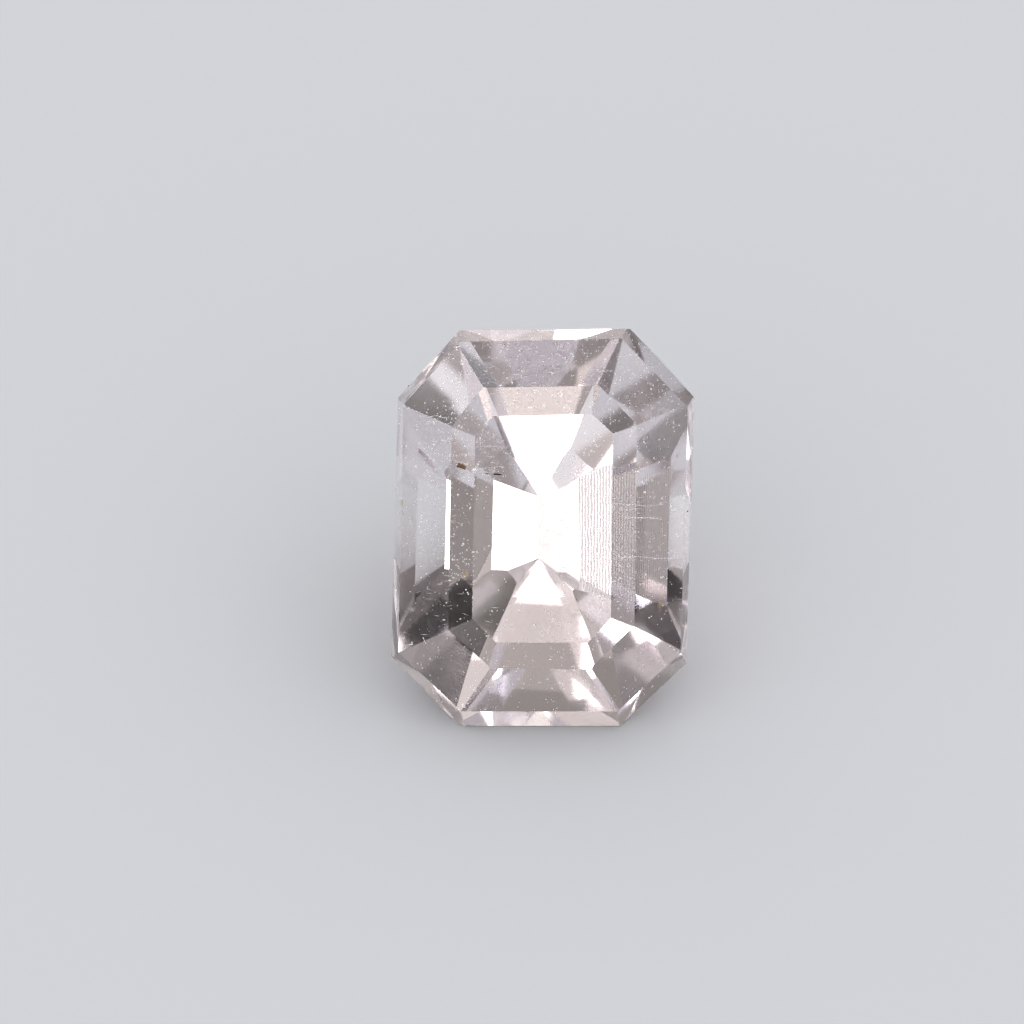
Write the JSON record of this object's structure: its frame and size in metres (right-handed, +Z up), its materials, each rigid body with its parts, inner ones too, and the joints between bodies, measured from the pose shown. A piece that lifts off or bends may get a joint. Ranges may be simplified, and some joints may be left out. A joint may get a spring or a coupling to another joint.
{
  "type": "faceted kunzite gemstone",
  "caption": "Loose step-cut octagonal gemstone in pale pink see-through kunzite, lying back on a pavilion facet with its table facing up and forward.",
  "frame": {"origin": "on the surface that the stone lies on, under the middle of its box", "axes": "+Z up; +Y runs from the foot end, which the table faces over, to the raised head end; +X to the right as the table is looked at"},
  "size_m": [0.0062, 0.006, 0.0062],
  "materials": {
    "kunzite": "clear, faintly pink-mauve crystal, polished flat facets"
  },
  "bodies": {
    "root": {"kunzite": "kunzite"}
  },
  "joints": []
}
